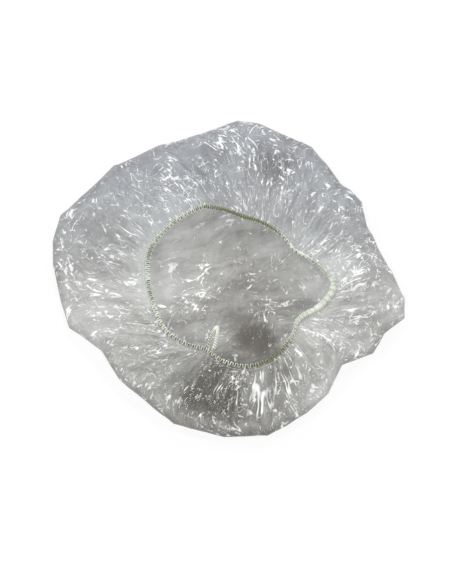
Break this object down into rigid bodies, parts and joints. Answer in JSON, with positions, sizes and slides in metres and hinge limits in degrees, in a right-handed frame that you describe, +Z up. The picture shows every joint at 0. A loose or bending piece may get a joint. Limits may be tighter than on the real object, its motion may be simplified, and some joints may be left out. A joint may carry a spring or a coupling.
{
  "type": "disposable shower cap",
  "caption": "Clear film shower cap lying crown down, its skirt gathered to a round mouth by an elastic that is overlocked to the hem, with a thread tail at the join.",
  "frame": {"origin": "on the surface that the cap lies on, under the middle of its outline", "axes": "+Z up out of the mouth, +X to the right and +Y away from a viewer who has the seam's tail nearest"},
  "size_m": [0.319, 0.305, 0.0383],
  "materials": {
    "clear_film": "clear glossy film, crumpled",
    "olive_elastic": "matt elastic cord",
    "pale_thread": "spun overlock thread"
  },
  "bodies": {
    "crown": {"crown_film": "clear_film", "skirt_film": "clear_film"},
    "mouth_band": {"elastic_cord": "olive_elastic", "needle_thread": "pale_thread", "upper_looper_thread": "pale_thread", "lower_looper_thread": "pale_thread"},
    "seam_tail": {"tail_loop": "pale_thread"}
  },
  "joints": [
    {"name": "mouth_lift", "type": "slide", "parent": "crown", "child": "mouth_band", "axis": [0, 0, 1], "range_m": [-0.012, 0.04], "deforming": ["skirt_film"]},
    {"name": "tail_swing", "type": "hinge", "parent": "mouth_band", "child": "seam_tail", "pos_m": [-0.01411, -0.07899, 0.03209], "axis": [0.8303, -0.5573, 0], "range_deg": [-35, 70]}
  ]
}
